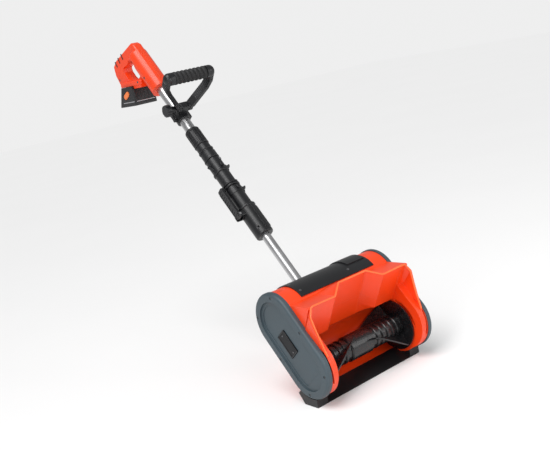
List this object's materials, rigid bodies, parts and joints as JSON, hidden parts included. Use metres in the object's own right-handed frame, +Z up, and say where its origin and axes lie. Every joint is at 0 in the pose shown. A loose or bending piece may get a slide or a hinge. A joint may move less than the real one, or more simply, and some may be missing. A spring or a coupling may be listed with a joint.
{
  "type": "snow blower",
  "caption": "Cordless snow shovel: boxed head with a flighted auger and scraper, telescoping pole, tilting loop handle, and rear handle with trigger and slide-on battery.",
  "frame": {"origin": "middle of the flat underside of the scraper base, where the head stands on the ground", "axes": "+Z up from the ground; -Y is the way the mouth faces and +Y the way the pole leans back; +X along the auger to the side with the belt drive"},
  "size_m": [0.35, 0.9414, 0.9047],
  "materials": {
    "orange_shell": "satin moulded",
    "grey_cover": "fine grain",
    "black_moulding": "fine grain",
    "black_scraper": "scuffed",
    "black_auger": "semi-gloss",
    "soft_rubber": "soft",
    "pole_aluminium": "anodised satin",
    "steel": "turned",
    "screw_steel": "zinc",
    "spring_steel": "bright",
    "motor_can": "zinc plated",
    "belt_rubber": "matt",
    "pulley_plastic": "moulded",
    "plate_metal": "dark, brushed",
    "board_green": "lacquered",
    "pack_black": "fine grain",
    "pack_orange": "satin",
    "display_lens": "smoked",
    "cell_wrap": "shrink sleeve",
    "contact_brass": "plated"
  },
  "bodies": {
    "chassis": {"auger_housing": "orange_shell", "front_hood": "orange_shell", "left_cover": "grey_cover", "right_cover": "grey_cover", "left_cover_screws": "screw_steel", "right_cover_screws": "screw_steel", "name_plate": "plate_metal", "top_cover": "black_moulding", "top_cover_screws": "screw_steel", "scraper_base": "black_scraper", "scraper_screws": "screw_steel", "left_bearing": "steel", "right_bearing": "steel", "motor": "motor_can", "motor_mount": "black_moulding", "motor_screws": "screw_steel", "drive_belt": "belt_rubber", "pole_collar": "black_moulding", "lower_tube": "pole_aluminium", "tube_bush": "black_moulding"},
    "auger_rotor": {"auger": "black_auger", "auger_shaft": "steel", "driven_pulley": "pulley_plastic"},
    "motor_rotor": {"motor_shaft": "steel", "drive_pulley": "steel"},
    "upper_pole": {"coupler_clamp": "black_moulding", "coupler_body": "black_moulding", "coupler_collar": "black_moulding", "coupler_screws": "screw_steel", "lever_pin": "steel", "upper_tube": "pole_aluminium", "handle_left": "orange_shell", "handle_right": "orange_shell", "soft_grip": "soft_rubber", "handle_screws": "screw_steel", "switch_box": "black_moulding", "trigger_spring": "spring_steel", "control_board": "board_green", "terminal_block": "black_moulding"},
    "pole_lever": {"lock_lever": "black_moulding"},
    "loop_clamp": {"clamp_front": "black_moulding", "clamp_rear": "black_moulding", "clamp_screws": "screw_steel", "clamp_bolt": "steel"},
    "loop_handle": {"loop_frame": "black_moulding", "cross_grip": "soft_rubber"},
    "loop_knob": {"clamp_knob": "black_moulding"},
    "trigger_body": {"trigger": "black_moulding"},
    "lock_off": {"lock_button": "soft_rubber"},
    "battery": {"pack_upper_case": "pack_black", "pack_lower_case": "pack_black", "pack_cells": "cell_wrap", "pack_terminals": "contact_brass", "charge_display": "display_lens"},
    "release_left": {"pack_button_left": "pack_orange"},
    "release_right": {"pack_button_right": "pack_orange"}
  },
  "joints": [
    {"name": "auger_spin", "type": "hinge", "parent": "chassis", "child": "auger_rotor", "pos_m": [0, 0.00971, 0.08296], "axis": [1, 0, 0], "continuous": true},
    {"name": "motor_spin", "type": "hinge", "parent": "chassis", "child": "motor_rotor", "pos_m": [0.1, 0.07874, 0.20256], "axis": [1, 0, 0], "continuous": true},
    {"name": "pole_length", "type": "slide", "parent": "chassis", "child": "upper_pole", "axis": [0, -0.6428, -0.766], "range_m": [0, 0.12]},
    {"name": "lever_fold", "type": "hinge", "parent": "upper_pole", "child": "pole_lever", "pos_m": [-0.036, 0.33218, 0.40503], "axis": [0, -0.766, 0.6428], "range_deg": [0, 95]},
    {"name": "clamp_slide", "type": "slide", "parent": "upper_pole", "child": "loop_clamp", "axis": [0, 0.6428, 0.766], "range_m": [-0.035, 0.06]},
    {"name": "loop_tilt", "type": "hinge", "parent": "loop_clamp", "child": "loop_handle", "pos_m": [0, 0.5383, 0.70202], "axis": [1, 0, 0], "range_deg": [-25, 35]},
    {"name": "knob_turn", "type": "hinge", "parent": "loop_clamp", "child": "loop_knob", "pos_m": [-0.05, 0.5383, 0.70202], "axis": [1, 0, 0], "continuous": true},
    {"name": "trigger_pull", "type": "slide", "parent": "upper_pole", "child": "trigger_body", "axis": [0, 0, 1], "range_m": [0, 0.006], "stiffness_N_per_m": 800, "springref_m": -0.004, "deforming": ["trigger_spring"]},
    {"name": "lock_push", "type": "slide", "parent": "upper_pole", "child": "lock_off", "axis": [0, -0.3159, -0.9488], "range_m": [0, 0.003], "stiffness_N_per_m": 600, "springref_m": -0.003},
    {"name": "battery_slide", "type": "slide", "parent": "upper_pole", "child": "battery", "axis": [0, 1, 0], "range_m": [0, 0.1]},
    {"name": "release_left_push", "type": "slide", "parent": "battery", "child": "release_left", "axis": [1, 0, 0], "range_m": [0, 0.0025], "stiffness_N_per_m": 600, "springref_m": -0.002},
    {"name": "release_right_push", "type": "slide", "parent": "battery", "child": "release_right", "axis": [-1, 0, 0], "range_m": [0, 0.0025], "stiffness_N_per_m": 600, "springref_m": -0.002}
  ],
  "couplings": [
    {"joint": "motor_spin", "follows": "auger_spin", "ratio": 4}
  ]
}
